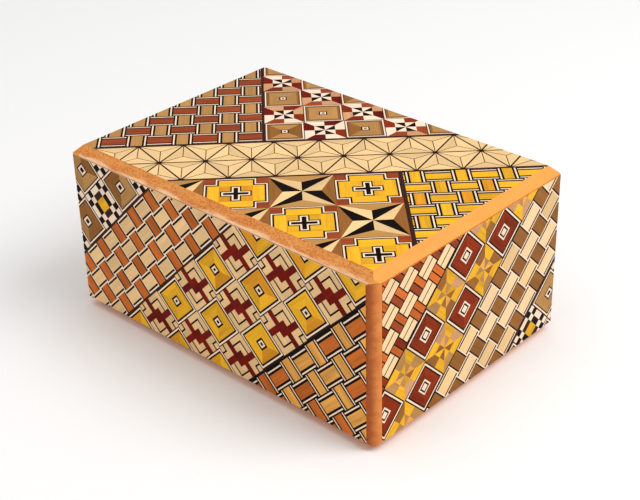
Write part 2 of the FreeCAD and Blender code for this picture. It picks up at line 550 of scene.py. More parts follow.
def extent(faces: Iterable[BMFace], axis: int) -> Span:
    """The lowest and highest place of faces along an axis."""
    places = [vert.co[axis] for face in faces for vert in face.verts]
    return min(places), max(places)


def middle_of(cell: BMFace) -> Vector:
    """The middle of a cell's bounds."""
    return Vector((sum(extent([cell], 0)) / 2, sum(extent([cell], 1)) / 2, 0))


def half_side(cell: BMFace) -> float:
    """Half the width of a cell."""
    low, high = extent([cell], 0)
    return (high - low) / 2


class Motif:
    """What fills the cells of a pattern."""

    first: bool = False     # laid before its neighbours: it needs corners with no cuts beside them

    def lay(self, mosaic: Mosaic, cells: list[BMFace]) -> None:
        """Cut and paint the cells."""
        raise NotImplementedError


@dataclass
class Layers(Motif):
    """Cells of parallel slices.

    Attributes:
        axis: 0 if the slices are stacked along u, 1 if along v.
        slices: The width and the woods of each, where None shares what is left.
    """

    axis: int
    slices: Sequence[tuple[float | None, Sequence[Wood]]]

    def lay(self, mosaic: Mosaic, cells: list[BMFace]) -> None:
        """Cut the cells that lie in one line together."""
        lines: dict[tuple[float, ...], list[BMFace]] = {}
        for cell in cells:
            span = tuple(round(place, 2) for place in extent([cell], self.axis))
            lines.setdefault(span, []).append(cell)
        fixed = sum(width for width, _ in self.slices if width)
        angle = 0.0 if self.axis else math.pi / 2
        for (low, high), line in lines.items():
            shared = (high - low - fixed) / max(sum(width is None for width, _ in self.slices), 1)
            cuts = [low]
            for width, _ in self.slices[:-1]:
                cuts.append(cuts[-1] + (shared if width is None else width))
            for faces, (_, woods) in zip(mosaic.strips(line, self.axis, cuts[1:]), self.slices):
                for face in faces:
                    mosaic.paint([face], mosaic.draw.choice(woods), angle)


@dataclass
class NestedSquare(Motif):
    """Square rings one inside the other round a small core.

    Attributes:
        outline: Width and wood of each ring from the outside.
        body: Woods of the broad mitred ring.
        eye: Width and wood of each ring round the core.
        eye_size: Side of the outermost of those.
        core: Wood of the core.
    """

    outline: Sequence[tuple[float, Wood]]
    body: Sequence[Wood]
    eye: Sequence[tuple[float, Wood]]
    eye_size: float
    core: Wood
    first = True

    def lay(self, mosaic: Mosaic, cells: list[BMFace]) -> None:
        """Lay the rings from the outside in."""
        for width, wood in self.outline:
            mosaic.ring(cells, width, (wood,))
        mosaic.ring(cells, half_side(cells[0]) - self.eye_size / 2, self.body)
        for width, wood in self.eye:
            mosaic.ring(cells, width, (wood,))
        for cell in cells:
            mosaic.paint([cell], self.core)


@dataclass
class PinwheelSquare(Motif):
    """Eight sectors round the middle, in an outer frame and in an inner square half its size.

    Attributes:
        outer: Woods for the sectors of the frame, in turn.
        inner: Woods for the sectors of the square, in turn.
    """

    outer: Sequence[Sequence[Wood]]
    inner: Sequence[Sequence[Wood]]

    def lay(self, mosaic: Mosaic, cells: list[BMFace]) -> None:
        """Inset the inner squares, then cut both through the middle."""
        mosaic.ring(cells, half_side(cells[0]) / 2, (Wood.SHADE,))
        for cell in cells:
            middle, inside = middle_of(cell), half_side(cell)
            faces = [cell, *(face for edge in cell.edges for face in edge.link_faces if face is not cell)]
            for normal in ((1, 0), (0, 1), (1, 1), (1, -1)):
                faces = mosaic.cut(faces, (middle.x, middle.y), normal)
            for face in faces:
                offset = face.calc_center_median() - middle
                sector = int(math.atan2(offset.y, offset.x) % math.tau // (math.pi / 4))
                outside = max(abs(offset.x), abs(offset.y)) > inside
                woods = (self.outer if outside else self.inner)[sector % len(self.outer)]
                mosaic.paint([face], mosaic.draw.choice(woods), along_side(offset))


@dataclass
class CheckSquare(Motif):
    """Five rows of five small blocks, the middle ones twice as long, round a bright block.

    Attributes:
        letters: The wood that each letter stands for.
        rows: The letters of the blocks, row by row.
        outline: Width of the dark line round the square.
    """

    letters: dict[str, Wood] = field(default_factory=lambda: {
        "w": Wood.WHITE, "d": Wood.DARK, "s": Wood.SHADE, "y": Wood.YELLOW})
    rows: Sequence[str] = ("wdwdw", "dwswd", "wdydw", "dwswd", "wdwdw")
    outline: float = 0.12

    def lay(self, mosaic: Mosaic, cells: list[BMFace]) -> None:
        """Cut the blocks and paint them."""
        mosaic.ring(cells, self.outline, (Wood.DARK,))
        for cell in cells:
            middle, unit = middle_of(cell), half_side(cell) / 3
            for row, column, block in mosaic.blocks([cell], middle, (-2 * unit, -unit, unit, 2 * unit)):
                mosaic.paint(block, self.letters[self.rows[row][column]])


@dataclass
class OffsetCross(Motif):
    """Four dark bars that pass the middle side by side, with pale angles between them.

    Attributes:
        arm: Width of a bar.
        band: Width of the pale band outside the thin angle line.
        line: Width of that line.
    """

    arm: float = 2.1
    band: float = 1.75
    line: float = 0.54

    def lay(self, mosaic: Mosaic, cells: list[BMFace]) -> None:
        """Cut each cell along its bars and angle lines, and paint the pieces."""
        for cell in cells:
            middle, half = middle_of(cell), half_side(cell)
            arm, edges = self.arm, (self.band, self.band + self.line)
            cuts = sorted([-arm, 0.0, arm] + [sign * (half - edge) for sign in (-1, 1) for edge in edges])
            rows = sum(mosaic.strips([cell], 1, [middle.y + cut for cut in cuts]), [])
            pieces: dict[tuple[Any, ...], list[BMFace]] = {}
            for face in sum(mosaic.strips(rows, 0, [middle.x + cut for cut in cuts]), []):
                place = middle_of(face) - middle
                pieces.setdefault(self.piece_at(place.x, place.y, half), []).append(face)
            for (wood, angle, *_), faces in pieces.items():
                mosaic.paint(faces, wood, angle)

    def piece_at(self, u: float, v: float, half: float) -> tuple[Any, ...]:
        """Say which piece of wood lies at a place.

        Args:
            u: Place from the middle of the cell.
            v: Place from the middle of the cell.
            half: Half the side of the cell.

        Returns:
            Its wood, the direction of its fibres, and what tells it from the other pieces.
        """
        if v < 0:
            return (*self.piece_at(-u, -v, half), "lower")
        arm, inner = self.arm, self.band + self.line
        if max(abs(u), v) < arm:
            return Wood.MAROON, 0.0, "hub"
        if -arm < u < 0:
            return Wood.MAROON, math.pi / 2, "upright"
        if u < 0 and v < arm:
            return Wood.MAROON, 0.0, "level"
        if u < 0:
            reach = max(u + half, half - v)
            return (Wood.DARK if self.band < reach < inner else Wood.PEARL, 0.0, "left", reach > inner)
        reach = half - max(u, v)
        return (Wood.DARK if self.band < reach < inner else Wood.PEARL,
                along_side(Vector((u, v, 0))), "right", reach > inner)


@dataclass
class SteppedCross(Motif):
    """A square with its corners stepped in, outlined, round a small outlined cross.

    Attributes:
        corner: Side of the blocks in the corners.
        outline: Width and wood of each line along the stepped edge.
        cross: Half length and half width of the small cross.
        cross_outline: Width and wood of each line round the small cross.
    """

    corner: float = 3.3
    outline: Sequence[tuple[float, Wood]] = ((0.26, Wood.DARK), (0.42, Wood.WHITE), (0.52, Wood.DARK))
    cross: Span = (4.5, 1.55)
    cross_outline: Sequence[tuple[float, Wood]] = ((0.42, Wood.DARK), (0.48, Wood.WHITE))

    RING_TONES, FIELD_TONES = (0.0, 0.3), (0.3, 0.9)    # lightest and deepest shade of the field

    def lay(self, mosaic: Mosaic, cells: list[BMFace]) -> None:
        """Cut the corners off, line the edge, and set in the small cross."""
        for cell in cells:
            self.lay_one(mosaic, cell)

    def lay_one(self, mosaic: Mosaic, cell: BMFace) -> None:
        """Lay one cell."""
        middle = middle_of(cell)
        reach = half_side(cell) - self.corner
        body, core = [], []
        for row, column, block in mosaic.blocks([cell], middle, (-reach, reach)):
            if row != 1 and column != 1:
                mosaic.paint(block, Wood.RED)
            else:
                (core if row == column == 1 else body).extend(block)
        for width, wood in self.outline:
            mosaic.rim(body + core, width, wood)
        long, wide = self.cross
        small = []
        for row, column, block in mosaic.blocks(core, middle, (-long, -wide, wide, long)):
            inside = 0 < row < 4 and 0 < column < 4 and 2 in (row, column)
            (small if inside else body).extend(block)
        self.paint_body(mosaic, body, middle, reach)
        for width, wood in self.cross_outline:
            mosaic.rim(small, width, wood)
        mosaic.paint(small, Wood.DARK)

    def paint_body(self, mosaic: Mosaic, body: list[BMFace], middle: Vector, reach: float) -> None:
        """Paint the field, mitred from its corners to its middle, in an outer and an inner ring."""
        for normal in ((1, 1), (1, -1)):
            body = mosaic.cut(body, (middle.x, middle.y), normal)
        pieces: dict[tuple[int, int], list[BMFace]] = {}
        for face in body:
            offset = middle_of(face) - middle
            side = round(math.atan2(offset.y, offset.x) / (math.pi / 2)) % 4
            outer = int(max(abs(offset.x), abs(offset.y)) > reach)
            pieces.setdefault((side, outer), []).append(face)
        for (side, ring), faces in pieces.items():
            woods = (Wood.YELLOW,) if ring else (Wood.YELLOW, Wood.YELLOW, Wood.AMBER)
            mosaic.paint(faces, mosaic.draw.choice(woods), 0.0 if side % 2 else math.pi / 2,
                         mosaic.draw.uniform(*(self.RING_TONES if ring else self.FIELD_TONES)))


@dataclass
class StarSquare(Motif):
    """A four-pointed star whose points reach the corners, each half dark and half pale.

    Attributes:
        waist: Distance from the middle to the inner corners of the star.
    """

    waist: float = 5.5
    first = True

    TAN_TONE, BROWN_TONE = 0.1, 0.35    # shade of the quarters between the points

    def lay(self, mosaic: Mosaic, cells: list[BMFace]) -> None:
        """Cut each cell from its middle to its corners, and each quarter again."""
        for cell in cells:
            middle = middle_of(cell)
            for quarter in mosaic.poke([cell]):
                heart = quarter.calc_center_median() - middle
                faces = mosaic.poke([quarter])
                hub = next(vert for vert in faces[0].verts if all(vert in face.verts for face in faces))
                hub.co = middle + heart.normalized() * self.waist
                faces.sort(key=lambda face: (face.calc_center_median() - middle).length)
                upright = abs(heart.y) > abs(heart.x)
                wood, tone = (Wood.TAN, self.TAN_TONE) if upright else (Wood.BROWN, self.BROWN_TONE)
                mosaic.paint([faces[2]], wood, along_side(heart), tone)
                for half in faces[:2]:
                    offset = half.calc_center_median() - middle
                    ahead = heart.x * offset.y - heart.y * offset.x > 0
                    mosaic.paint([half], Wood.CREAM if ahead else Wood.DARK, math.atan2(offset.y, offset.x))


# --- Regions of a face ----------------------------------------------------------------------------
ON_END = 1e-3                   # share of a step: a line this close to the end of a span lies on it
WHOLE = 0.95                    # share of its side that a cell needs to hold its motif


class Region:
    """A part of a face with one pattern."""

    def fill(self, mosaic: Mosaic, faces: list[BMFace]) -> None:
        """Cut and paint the region."""
        raise NotImplementedError


def grid_lines(origin: float, step: float, span: Span) -> list[float]:
    """The places origin + n * step that lie inside a span, and not on its ends."""
    margin = step * ON_END
    first = math.ceil((span[0] + margin - origin) / step)
    last = math.floor((span[1] - margin - origin) / step)
    return [origin + number * step for number in range(first, last + 1)]


@dataclass
class Plain(Region):
    """A strip of one wood that parts two patterns.

    Attributes:
        wood: Its kind.
        angle: Direction of the fibres from the u axis, in radians.
    """

    wood: Wood
    angle: float = 0.0

    def fill(self, mosaic: Mosaic, faces: list[BMFace]) -> None:
        """Paint the strip."""
        mosaic.paint(faces, self.wood, self.angle)


@dataclass
class Split(Region):
    """Regions side by side.

    Attributes:
        axis: 0 if they follow each other along u, 1 if along v.
        parts: Each region with the place where it ends; the last one has none.
    """

    axis: int
    parts: Sequence[tuple[float | None, Region]]

    def fill(self, mosaic: Mosaic, faces: list[BMFace]) -> None:
        """Cut the regions apart and fill each."""
        ends = [end for end, _ in self.parts if end is not None]
        for group, (_, region) in zip(mosaic.strips(faces, self.axis, ends), self.parts):
            region.fill(mosaic, group)


@dataclass
class Checker(Region):
    """Two motifs in turn on a square lattice.

    Attributes:
        origin: Middle of a cell that holds the first motif, along u and along v.
        side: Side of a cell.
        motifs: The two motifs.
    """

    origin: Span
    side: float
    motifs: tuple[Motif, Motif]

    def fill(self, mosaic: Mosaic, faces: list[BMFace]) -> None:
        """Cut the lattice and lay the motifs."""
        (u, v), side = self.origin, self.side
        jobs: tuple[list[BMFace], list[BMFace]] = ([], [])
        for cell in mosaic.cells(faces, grid_lines(u + side / 2, side, extent(faces, 0)),
                                 grid_lines(v + side / 2, side, extent(faces, 1))):
            place = middle_of(cell)
            spans = [extent([cell], axis) for axis in (0, 1)]
            if all(high - low > WHOLE * side for low, high in spans):
                jobs[(round((place.x - u) / side) + round((place.y - v) / side)) % 2].append(cell)
            else:
                mosaic.paint([cell], Wood.SHADE)
        for motif, cells in sorted(zip(self.motifs, jobs), key=lambda job: not job[0].first):
            if cells:
                motif.lay(mosaic, cells)


@dataclass
class Weave(Region):
    """Rows of upright bars and level blocks in turn, each row moved on by half.

    Attributes:
        start: Place where a row begins, along v.
        height: Height of a row.
        middle: Middle of a bar in the row above start, along u.
        bar: Width and motif of the bars.
        block: Width and motif of the blocks.
    """

    start: float
    height: float
    middle: float
    bar: tuple[float, Motif]
    block: tuple[float, Motif]

    def fill(self, mosaic: Mosaic, faces: list[BMFace]) -> None:
        """Cut the rows, then the bars and blocks of all the rows in step."""
        period = self.bar[0] + self.block[0]
        rows = mosaic.cells(faces, (), grid_lines(self.start, self.height, extent(faces, 1)))
        span = extent(rows, 0)
        groups: tuple[list[BMFace], list[BMFace]] = ([], [])
        for row in rows:
            groups[round((middle_of(row).y - self.start) / self.height - 0.5) % 2].append(row)
        bars, blocks = [], []
        for parity, group in enumerate(groups):
            middle = self.middle + parity * period / 2
            edges = [place for sign in (-1, 1)
                     for place in grid_lines(middle + sign * self.bar[0] / 2, period, span)]
            for cell in mosaic.cells(group, sorted(edges), ()):
                offset = (middle_of(cell).x - middle + period / 2) % period - period / 2
                (bars if abs(offset) < self.bar[0] / 2 else blocks).append(cell)
        self.bar[1].lay(mosaic, bars)
        self.block[1].lay(mosaic, blocks)


@dataclass
class HempLeaf(Region):
    """The hemp-leaf pattern: a lattice of triangles, each cut in three from its middle.

    Attributes:
        node: A corner of the lattice on the middle row.
        base: Distance between corners along a row.
        rise: Distance between rows.
        line: Half width of the dark lines of the lattice.
        spoke: Half width of the lines inside a triangle.
    """

    node: Span
    base: float
    rise: float
    line: float = 0.14
    spoke: float = 0.13

    def fill(self, mosaic: Mosaic, faces: list[BMFace]) -> None:
        """Cut the lattice of triangles and fill each triangle."""
        span = extent(faces, 0)
        pieces = mosaic.cut(faces, self.node, (0, 1))
        nodes = grid_lines(self.node[0], self.base, (span[0] - self.base, span[1] + self.base))
        for lean in (-1, 1):
            for place in nodes:
                pieces = mosaic.cut(pieces, (place, self.node[1]), (self.rise, lean * self.base / 2))
        pieces = mosaic.trim(pieces)
        triangles = [piece for piece in pieces if len(piece.verts) == 3]
        for piece in pieces:
            mosaic.paint([piece], Wood.CREAM)
        mosaic.ring(triangles, self.line, (Wood.DARK,))
        thirds = mosaic.poke(triangles)
        mosaic.ring(thirds, self.spoke, (Wood.SHADE,))
        for third in thirds:
            longest = max(third.edges, key=lambda edge: edge.calc_length())
            mosaic.paint([third], Wood.CREAM, run_of(longest))


# --- Motifs and faces of this box -----------------------------------------------------------------
def lined(axis: int, woods: Sequence[Wood], *side: tuple[float, Wood]) -> Layers:
    """Line a slice along both sides.

    Args:
        axis: 0 if the lines follow each other along u, 1 if along v.
        woods: Woods of the slice.
        side: Width and wood of each line from the outside.

    Returns:
        The motif.
    """
    lines = tuple((width, (wood,)) for width, wood in side)
    return Layers(axis, (*lines, (None, woods), *lines[::-1]))


def basket(start: float, size: float, middle: float, upright: Sequence[Wood], level: Sequence[Wood],
           extra: float = 0.6, inner: float = 0.72) -> Weave:
    """A basket weave with dark, white and dark lines along both sides of every slat.

    Args:
        start: Place where a row begins, along v.
        size: Height of a row, and half its period.
        middle: Middle of an upright slat in the row above start, along u.
        upright: Woods of the upright slats.
        level: Woods of the level slats.
        extra: How much longer a level slat is than the row is high.
        inner: Width of the inner dark lines of the level slats.

    Returns:
        The region.
    """
    outside = (0.5, Wood.DARK), (0.45, Wood.WHITE)
    return Weave(start, size, middle, (size - extra, lined(0, upright, *outside, (0.62, Wood.DARK))),
                 (size + extra, lined(1, level, *outside, (inner, Wood.DARK))))


def twin(axis: int, *pair: Sequence[Wood]) -> Layers:
    """Lay two slices of the same width between thin dark lines.

    Args:
        axis: 0 if they follow each other along u, 1 if along v.
        pair: Woods of the first slice, and of the second.

    Returns:
        The motif.
    """
    line = (0.38, (Wood.DARK,))
    return Layers(axis, (line, (None, pair[0]), line, (None, pair[1]), line))


def top_face() -> Region:
    """The pattern of the lid: baskets and squares on both sides of a band of hemp leaf."""
    ruled = ((0.3, Wood.SHADE), (0.42, Wood.WHITE), (0.3, Wood.SHADE), (0.7, Wood.BROWN))
    eyed = NestedSquare(ruled, (Wood.BROWN, Wood.TAN, Wood.TAN),
                        ((0.4, Wood.DARK), (0.42, Wood.WHITE)), 2.4, Wood.BROWN)
    pinwheel = PinwheelSquare(((Wood.WHITE, Wood.ROSE), (Wood.RED, Wood.RUSSET, Wood.MAROON)),
                              ((Wood.DARK,), (Wood.WHITE,)))
    return Split(1, (
        (-13.77, Split(0, (
            (24.65, Checker((15.2, -23.07), 18.674, (SteppedCross(), StarSquare()))),
            (25.8, Plain(Wood.SHADE, math.pi / 2)),
            (None, basket(-20.5, 6.7, 29.15, (Wood.AMBER, Wood.YELLOW), (Wood.YELLOW,))),
        ))),
        (-13.17, Plain(Wood.SHADE)),
        (9.63, HempLeaf((-44.8, -1.77), 13.594, 11.4)),
        (10.4, Plain(Wood.SHADE)),
        (None, Split(0, (
            (-14.35, basket(10.45, 6.93, -24.75, (Wood.TAN,), (Wood.RED,), 0.35, 0.62)),
            (-13.5, Plain(Wood.SHADE, math.pi / 2)),
            (None, Checker((4.91, 29.1), 12.417, (eyed, pinwheel))),
        ))),
    ))


def corner_squares(origin: Span, side: float) -> Checker:
    """The corner pattern: brown squares with an eye, and small checks with a yellow middle.

    Args:
        origin: Middle of a brown square.
        side: Side of a square.

    Returns:
        The region.
    """
    outline = ((0.28, Wood.DARK), (0.5, Wood.WHITE), (0.36, Wood.DARK))
    eye = ((0.42, Wood.DARK), (0.62, Wood.WHITE))
    return Checker(origin, side, (NestedSquare(outline, (Wood.TAN, Wood.BROWN), eye, 3.6, Wood.DARK),
                                  CheckSquare()))


def front_face() -> Region:
    """The pattern of the long sides."""
    yellow = NestedSquare(((0.34, Wood.DARK), (0.5, Wood.WHITE), (0.55, Wood.DARK)),
                          (Wood.YELLOW, Wood.YELLOW, Wood.AMBER),
                          ((0.6, Wood.DARK), (0.55, Wood.WHITE)), 3.3, Wood.DARK)
    return Split(1, (
        (-27.2, basket(-27.2, 6.93, 4.7, (Wood.HONEY, Wood.HONEY, Wood.ORANGE),
                        (Wood.ORANGE, Wood.HONEY))),
        (-26.58, Plain(Wood.DARK)),
        (11.25, Checker((6.155, 5.159), 12.587, (yellow, OffsetCross()))),
        (11.95, Plain(Wood.SHADE)),
        (35.3, Weave(11.95, 5.84, -43.4,
                     (5.5, lined(0, (Wood.ORANGE,), (0.3, Wood.WHITE), (0.66, Wood.DARK))),
                     (6.2, lined(1, (Wood.PEARL, Wood.PEARL, Wood.CREAM),
                                 (0.46, Wood.WHITE), (0.62, Wood.DARK))))),
        (35.94, Plain(Wood.SHADE)),
        (None, corner_squares((-24.8, 54.6), 12.53)),
    ))


def end_face() -> Region:
    """The pattern of the short sides."""
    dark_square = NestedSquare(((0.4, Wood.DARK), (0.52, Wood.WHITE), (0.46, Wood.DARK)),
                               (Wood.RUSSET,),
                               ((0.5, Wood.WHITE), (0.5, Wood.DARK)), 3.9, Wood.WHITE)
    kaleidoscope = PinwheelSquare(((Wood.YELLOW,), (Wood.ROSE, Wood.TAN, Wood.BROWN)),
                                  ((Wood.BROWN, Wood.TAN), (Wood.YELLOW, Wood.HONEY)))
    white_block = twin(1, (Wood.IVORY,), (Wood.IVORY,))
    red_bar = twin(0, (Wood.CORAL, Wood.CORAL, Wood.RED), (Wood.CORAL, Wood.CORAL, Wood.RUSSET))
    return Split(1, (
        (-31.45, corner_squares((17.85, -37.35), 12.5)),
        (-30.25, Plain(Wood.SHADE)),
        (-3.65, Weave(-30.25, 6.65, 4.8,
                      (5.9, lined(0, (Wood.BROWN,), (0.34, Wood.WHITE), (0.46, Wood.DARK))),
                      (7.37, lined(1, (Wood.IVORY, Wood.IVORY, Wood.CREAM),
                                   (0.42, Wood.WHITE), (0.6, Wood.DARK))))),
        (-3.23, Plain(Wood.DARK)),
        (21.13, Checker((10.334, 15.165), 12.232, (dark_square, kaleidoscope))),
        (21.6, Plain(Wood.DARK)),
        (None, Weave(21.6, 5.5, 1.1, (4.95, red_bar), (6.1, white_block))),
    ))


@dataclass
class MarquetrySheet:
    """One inlaid sheet in the place of its CAD node.

    Attributes:
        node: The CAD node it stands for.
        body: The body it rides on.
        right: Direction of the face's x axis.
        up: Direction of the face's y axis.
        pattern: What fills the face.
        edges: Materials of its narrow sides, by the direction that they look in.
        turned: Whether the pattern is turned by half a turn.
        seed: Seed of the shades.
    """

    node: str
    body: str
    right: Vector
    up: Vector
    pattern: Callable[[], Region]
    edges: FaceRules
    turned: bool = False
    seed: int = 1

    LEVEL = 0.01 * MM           # a corner this close to a face's plane lies in it
    TOUCH = 1e-7                # a corner this close to a cut lies on it, in metres
    MARGIN = 0.02               # margins of the bake map
    STEEP = 0.9                 # a wall's normal leans out of the sheet by less than this

    def outline(self, outer: bool) -> tuple[Span, Span, float]:
        """Find the rectangle of the CAD sheet's outer or inner face.

        Args:
            outer: Whether the outer face is meant.

        Returns:
            The span along x, the span along y, and the place along the normal, in metres.
        """
        normal = self.right.cross(self.up)
        points = [vert.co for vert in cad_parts[self.node].data.vertices]
        places = [point.dot(normal) for point in points]
        level = max(places) if outer else min(places)
        flat = [point for point, place in zip(points, places) if abs(place - level) < self.LEVEL]
        spans = []
        for axis in (self.right, self.up):
            along = [point.dot(axis) for point in flat]
            spans.append((min(along), max(along)))
        return spans[0], spans[1], level

    def build(self, materials: Sequence[bpy.types.Material]) -> bpy.types.Object:
        """Cut the pattern, trim it to the sheet, give it its thickness and place it.

        Args:
            materials: One material for each wood, in the order of Wood.

        Returns:
            The finished piece.
        """
        low, high = CAD_BOX
        centre = (Vector(low) + Vector(high)) / 2
        (x0, x1), (y0, y1), level = self.outline(True)
        mid_x, mid_y = centre.dot(self.right), centre.dot(self.up)
        window = tuple(max(abs(end - middle) for end in span) / MM
                       for span, middle in (((x0, x1), mid_x), ((y0, y1), mid_y)))
        mosaic = Mosaic(window, self.seed)
        self.pattern().fill(mosaic, list(mosaic.bm.faces))
        bm = mosaic.bm
        self.map_grain(mosaic)
        turn = math.pi / 4 + (math.pi if self.turned else 0.0)
        bmesh.ops.rotate(bm, verts=bm.verts, cent=(0, 0, 0), matrix=Matrix.Rotation(turn, 3, "Z"))
        bmesh.ops.scale(bm, verts=bm.verts, vec=(MM, MM, MM))
        bmesh.ops.translate(bm, verts=bm.verts, vec=(mid_x, mid_y, 0))
        for place, normal in (((x0, 0, 0), (-1, 0, 0)), ((x1, 0, 0), (1, 0, 0)),
                              ((0, y0, 0), (0, -1, 0)), ((0, y1, 0), (0, 1, 0))):
            bmesh.ops.bisect_plane(bm, geom=[*bm.faces, *bm.edges, *bm.verts], dist=self.TOUCH,
                                   plane_co=place, plane_no=normal, clear_outer=True)
        self.thicken(bm)
        self.map_bake(bm, (x0, x1), (y0, y1))
        normal = self.right.cross(self.up)
        basis = Matrix((self.right, self.up, normal)).transposed()
        bmesh.ops.translate(bm, verts=bm.verts, vec=(0, 0, level))
        bmesh.ops.transform(bm, verts=bm.verts, matrix=basis.to_4x4())
        for face in bm.faces:
            face.normal_update()
            if face.material_index == len(WOODS):
                face.material_index += first_match(self.edges, face.normal)
        piece = finished(bm, f"inlay_{self.node}", [*materials, *(material for _, material in self.edges)])
        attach(piece, self.body)
        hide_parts(self.node)
        return piece

    def map_grain(self, mosaic: Mosaic) -> None:
        """Write the Grain map: millimetres along and across the fibres of each tile."""
        layer = mosaic.bm.loops.layers.uv.new(GRAIN_MAP)
        for face in mosaic.bm.faces:
            cos, sin = math.cos(face[mosaic.angle]), math.sin(face[mosaic.angle])
            shift = face[mosaic.shift]
            for loop in face.loops:
                u, v = loop.vert.co.x, loop.vert.co.y
                loop[layer].uv = (u * cos + v * sin + shift.x, v * cos - u * sin + shift.y)
        mosaic.bm.faces.layers.float.remove(mosaic.angle)
        mosaic.bm.faces.layers.float_vector.remove(mosaic.shift)

    def thicken(self, bm: bmesh.types.BMesh) -> None:
        """Close the sheet downwards to the outline of its inner face."""
        (x0, x1), (y0, y1), level = self.outline(True)
        (a0, a1), (b0, b1), base = self.outline(False)
        border = [edge for edge in bm.edges if edge.is_boundary]
        made = bmesh.ops.extrude_edge_only(bm, edges=border)["geom"]
        walls = [item for item in made if isinstance(item, BMFace)]
        lower = [item for item in made if isinstance(item, bmesh.types.BMVert)]
        for vert in lower:
            vert.co.x = a0 + (vert.co.x - x0) * (a1 - a0) / (x1 - x0)
            vert.co.y = b0 + (vert.co.y - y0) * (b1 - b0) / (y1 - y0)
            vert.co.z = base - level
        rim = [edge for edge in bm.edges if edge.is_boundary]
        back = bmesh.ops.contextual_create(bm, geom=rim)["faces"]
        for face in (*walls, *back):
            face.material_index = len(WOODS)
        bmesh.ops.recalc_face_normals(bm, faces=bm.faces)

    def map_bake(self, bm: bmesh.types.BMesh, x: Span, y: Span) -> None:
        """Write the bake map: the tiles fill the square, and the walls and back lie in its margins."""
        layer = bm.loops.layers.uv.new(BAKE_MAP)
        margin = self.MARGIN
        inner = 1 - 2 * margin
        for face in bm.faces:
            tile = face.material_index < len(WOODS)
            walls = not tile and len(face.verts) == 4 and abs(face.normal.z) < self.STEEP
            for loop in face.loops:
                u = (loop.vert.co.x - x[0]) / (x[1] - x[0])
                v = (loop.vert.co.y - y[0]) / (y[1] - y[0])
                if tile:
                    loop[layer].uv = (2 * margin + inner * u, 2 * margin + inner * v)
                elif walls:
                    along = u if abs(face.normal.y) > abs(face.normal.x) else v
                    deep = 0.25 + 0.5 * (loop.vert.co.z < -1e-6)
                    side = face.normal.x + face.normal.y > 0
                    place = (along / 2 + side / 2, deep * margin)
                    loop[layer].uv = place if abs(face.normal.y) > abs(face.normal.x) else (
                        deep * margin, 2 * margin + inner * place[0])
                else:
                    loop[layer].uv = (2 * margin + inner * u, margin * (1.1 + 0.8 * v))


def finished(bm: bmesh.types.BMesh, name: str, materials: Sequence[bpy.types.Material]) -> bpy.types.Object:
    """Turn a bmesh into an object of the scene.

    Args:
        bm: The mesh, which is freed.
        name: Name of the piece.
        materials: Its materials.

    Returns:
        The object, at the origin.
    """
    mesh = bpy.data.meshes.new(name)
    bm.to_mesh(mesh)
    bm.free()
    for material in materials:
        mesh.materials.append(material)
    piece = bpy.data.objects.new(name, mesh)
    bpy.context.scene.collection.objects.link(piece)
    return piece


# --- Solid wood -----------------------------------------------------------------------------------
@dataclass
class Board:
    """A solid board in the place of its CAD node, with its sharp edges eased.

    Attributes:
        node: The CAD node it stands for.
        body: The body it rides on.
        ease: Width of the eased edges.
        faces: Materials by the direction that a face looks in: the first that matches counts.
        covered: The direction of the face that carries marquetry, whose edges stay sharp.
    """

    node: str
    body: str
    ease: float
    faces: FaceRules
    covered: Vector

    MERGE = 0.001 * MM                      # corners this close are one
    FLAT = math.radians(0.5)                # faces that meet at less than this are one
    SHARP = math.radians(20)                # edges at more than this are eased
    FACING = 0.99                           # the covered face looks this much in its direction
    ROUNDS = 3                              # facets across an eased edge

    def build(self) -> bpy.types.Object:
        """Copy the board, merge it, ease its edges and give each face its material."""
        bm = bmesh.new()
        bm.from_mesh(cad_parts[self.node].data)
        bmesh.ops.remove_doubles(bm, verts=bm.verts, dist=self.MERGE)
        bmesh.ops.dissolve_limit(bm, angle_limit=self.FLAT, verts=bm.verts, edges=bm.edges)
        sharp = [edge for edge in bm.edges if edge.calc_face_angle(0.0) > self.SHARP
                 and not any(face.normal.dot(self.covered) > self.FACING for face in edge.link_faces)]
        bmesh.ops.bevel(bm, geom=sharp, offset=self.ease, offset_type="WIDTH", affect="EDGES",
                        segments=self.ROUNDS, profile=0.5, material=-1, clamp_overlap=True)
        for face in bm.faces:
            face.material_index = first_match(self.faces, face.normal)
        piece = finished(bm, f"solid_{self.node}", [material for _, material in self.faces])
        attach(piece, self.body)
        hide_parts(self.node)
        return piece


# --- Sub-assemblies -------------------------------------------------------------------------------
X, Y, Z = Vector((1, 0, 0)), Vector((0, 1, 0)), Vector((0, 0, 1))
SQUARE, END, LEANING = 0.9, 0.8, 0.5    # how far a normal lies along an axis: flat on, at an end, chamfered


@dataclass
class Workshop:
    """The materials that the sub-assemblies share.

    Attributes:
        inlay: One for each wood of the marquetry, in the order of Wood.
        made: Those of the solid woods, by wood and direction of the fibres.
    """

    inlay: list[bpy.types.Material] = field(default_factory=list)
    made: dict[tuple[Timber, int], bpy.types.Material] = field(default_factory=dict)

    def prepare(self) -> None:
        """Make the inlay's materials."""
        self.inlay = [wood.value.dress(f"inlay_{wood.name.lower()}") for wood in WOODS]

    def solid(self, timber: Timber, axis: int) -> bpy.types.Material:
        """The material of a solid wood with its fibres along an axis, made once."""
        key = (timber, axis)
        if key not in self.made:
            self.made[key] = timber.value.dress(f"{timber.name.lower()}_{'xyz'[axis]}", axis)
        return self.made[key]

    def dress(self, node: str, timber: Timber, axis: int) -> None:
        """Give a CAD node a solid wood."""
        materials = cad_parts[node].data.materials
        materials.clear()
        materials.append(self.solid(timber, axis))


class Assembly:
    """One body of the box."""

    def build(self, shop: Workshop) -> list[bpy.types.Object]:
        """Build its new pieces from the shared materials, dress its other nodes, and return the pieces."""
        raise NotImplementedError


